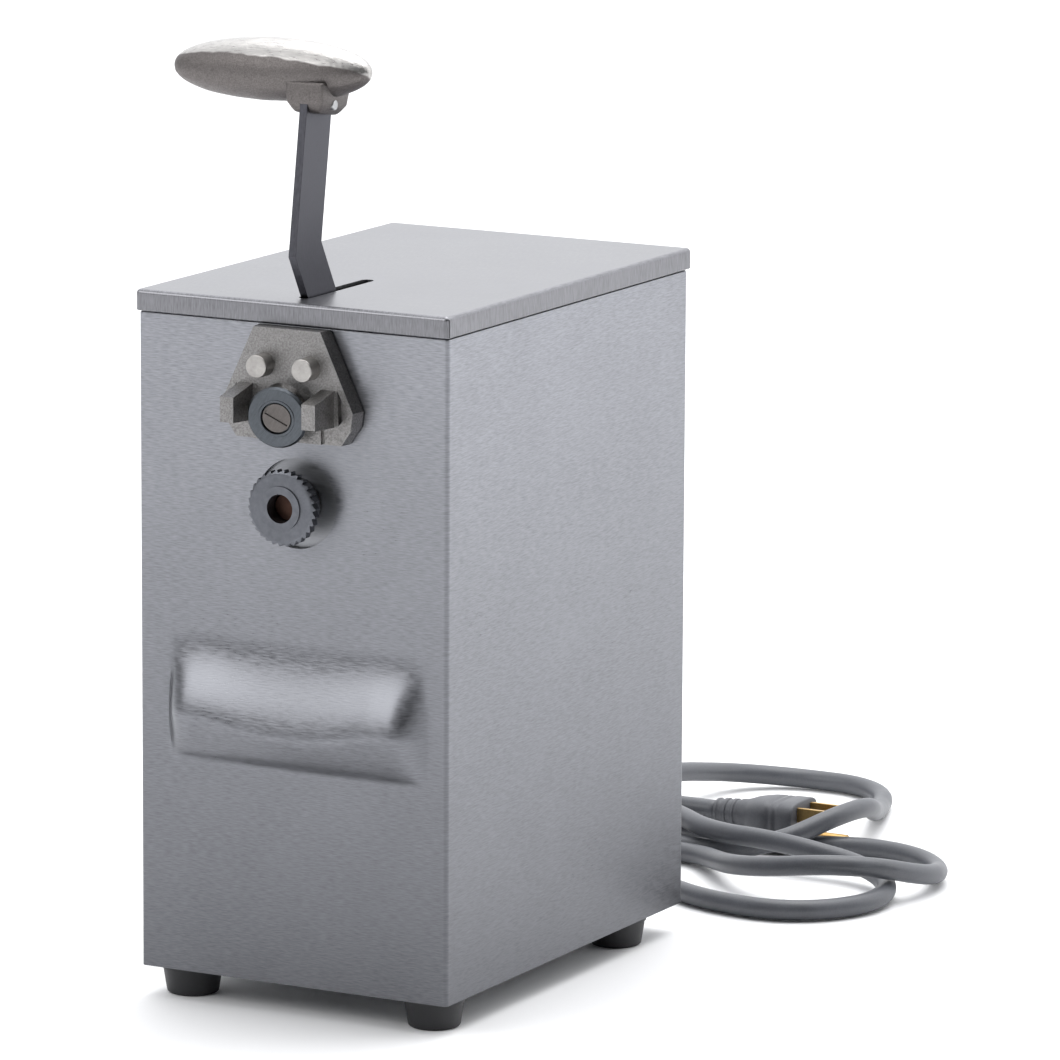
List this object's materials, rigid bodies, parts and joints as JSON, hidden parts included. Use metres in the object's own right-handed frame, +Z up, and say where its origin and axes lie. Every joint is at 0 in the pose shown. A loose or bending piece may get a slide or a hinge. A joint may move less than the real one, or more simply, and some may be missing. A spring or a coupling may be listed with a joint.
{
  "type": "electric can opener",
  "caption": "Bench electric can opener: upright sheet-metal housing, geared motor, toothed feed wheel, and a knife that a hand lever lowers onto the can.",
  "frame": {"origin": "middle of the opener's outline, without its free cord, at the underside of its feet", "axes": "+Z up, the front with the knife and feed wheel faces -Y, +X to the right seen from the front's own left to right"},
  "size_m": [0.2604, 0.4787, 0.3765],
  "materials": {
    "shell_steel": "satin sheet with a fine horizontal grain",
    "lid_steel": "satin sheet with a fine grain",
    "panel_steel": "plain satin sheet",
    "screw_zinc": "zinc-plated, satin",
    "foot_rubber": "matt black rubber",
    "cord_rubber": "matt grey rubber jacket",
    "plug_rubber": "moulded dark grey rubber",
    "brass": "dull brass",
    "black_plastic": "moulded plastic",
    "red_plastic": "moulded plastic",
    "bronze": "oiled bronze",
    "turned_steel": "turned and ground",
    "core_iron": "laminated iron",
    "copper": "enamelled copper",
    "cast_metal": "sand-cast, plain",
    "bar_steel": "ground flat bar",
    "knob_metal": "cast, top linished",
    "plate_metal": "plated casting with a fine rough surface",
    "knife_steel": "dark hardened steel",
    "wheel_steel": "machined and plated"
  },
  "bodies": {
    "root": {"shell": "shell_steel", "lid": "lid_steel", "base_plate": "panel_steel", "back_panel": "panel_steel", "back_screws": "screw_zinc", "lid_screws": "screw_zinc", "feet": "foot_rubber", "foot_screws": "screw_zinc", "strain_relief": "cord_rubber", "power_cord": "cord_rubber", "plug_body": "plug_rubber", "plug_blades": "brass", "plug_ground_pin": "brass", "terminal_block": "black_plastic", "main_frame": "panel_steel", "frame_screws": "screw_zinc", "gearbox_cover": "panel_steel", "gearbox_screws": "screw_zinc", "slide_gibs": "bronze", "gib_screws": "screw_zinc", "return_springs": "turned_steel", "pivot_bushes": "bronze", "feed_bush_front": "bronze", "feed_bush_rear": "bronze", "idler_bushes": "bronze", "stator_core": "core_iron", "field_windings": "copper", "front_end_bell": "cast_metal", "rear_end_bell": "cast_metal", "motor_bearings": "turned_steel", "brush_holders": "black_plastic", "motor_bolts": "screw_zinc", "switch_body": "black_plastic", "switch_bracket": "panel_steel"},
    "rotor": {"rotor_shaft": "turned_steel", "rotor_core": "core_iron", "commutator": "copper", "cooling_fan": "black_plastic", "motor_pinion": "turned_steel"},
    "idler": {"idler_shaft": "turned_steel", "cluster_gear": "bronze"},
    "feed": {"feed_shaft": "turned_steel", "feed_wheel": "wheel_steel", "output_gear": "bronze"},
    "arm": {"handle_arm": "bar_steel", "handle_knob": "knob_metal", "knob_rivet": "screw_zinc", "pivot_shaft": "turned_steel", "arm_hub": "turned_steel", "crank_pin": "turned_steel", "pivot_rings": "screw_zinc"},
    "carriage": {"knife_plate": "plate_metal", "guide_studs": "turned_steel", "slide_block": "turned_steel", "lift_yoke": "turned_steel", "yoke_screws": "screw_zinc", "knife_screw": "knife_steel"},
    "knife": {"knife_wheel": "knife_steel"},
    "switch": {"switch_plunger": "red_plastic"}
  },
  "joints": [
    {"name": "arm_swing", "type": "hinge", "parent": "root", "child": "arm", "pos_m": [-0.0015, -0.0388, 0.231], "axis": [-1, 0, 0], "range_deg": [0, 31.5], "stiffness_Nm_per_rad": 0.5, "springref_deg": -34.38},
    {"name": "knife_lift", "type": "slide", "parent": "root", "child": "carriage", "axis": [0, 0, -1], "range_m": [0, 0.0115], "deforming": ["return_springs"]},
    {"name": "knife_spin", "type": "hinge", "parent": "carriage", "child": "knife", "pos_m": [0.0027, -0.1054, 0.237], "axis": [0.1859, -0.9745, -0.1253], "continuous": true},
    {"name": "rotor_spin", "type": "hinge", "parent": "root", "child": "rotor", "pos_m": [0.002, 0.06, 0.1205], "axis": [0, 1, 0], "continuous": true},
    {"name": "idler_spin", "type": "hinge", "parent": "root", "child": "idler", "pos_m": [0.002, 0.01, 0.1565], "axis": [0, 1, 0], "continuous": true},
    {"name": "feed_spin", "type": "hinge", "parent": "root", "child": "feed", "pos_m": [0.002, -0.03, 0.2015], "axis": [0, 1, 0], "continuous": true},
    {"name": "switch_press", "type": "slide", "parent": "root", "child": "switch", "axis": [0, -1, 0], "range_m": [0, 0.002]}
  ],
  "couplings": [
    {"joint": "knife_lift", "follows": "arm_swing", "m_per_rad": 0.0209},
    {"joint": "switch_press", "follows": "arm_swing", "m_per_rad": 0.0036},
    {"joint": "idler_spin", "follows": "rotor_spin", "ratio": -0.2},
    {"joint": "feed_spin", "follows": "rotor_spin", "ratio": 0.05}
  ]
}
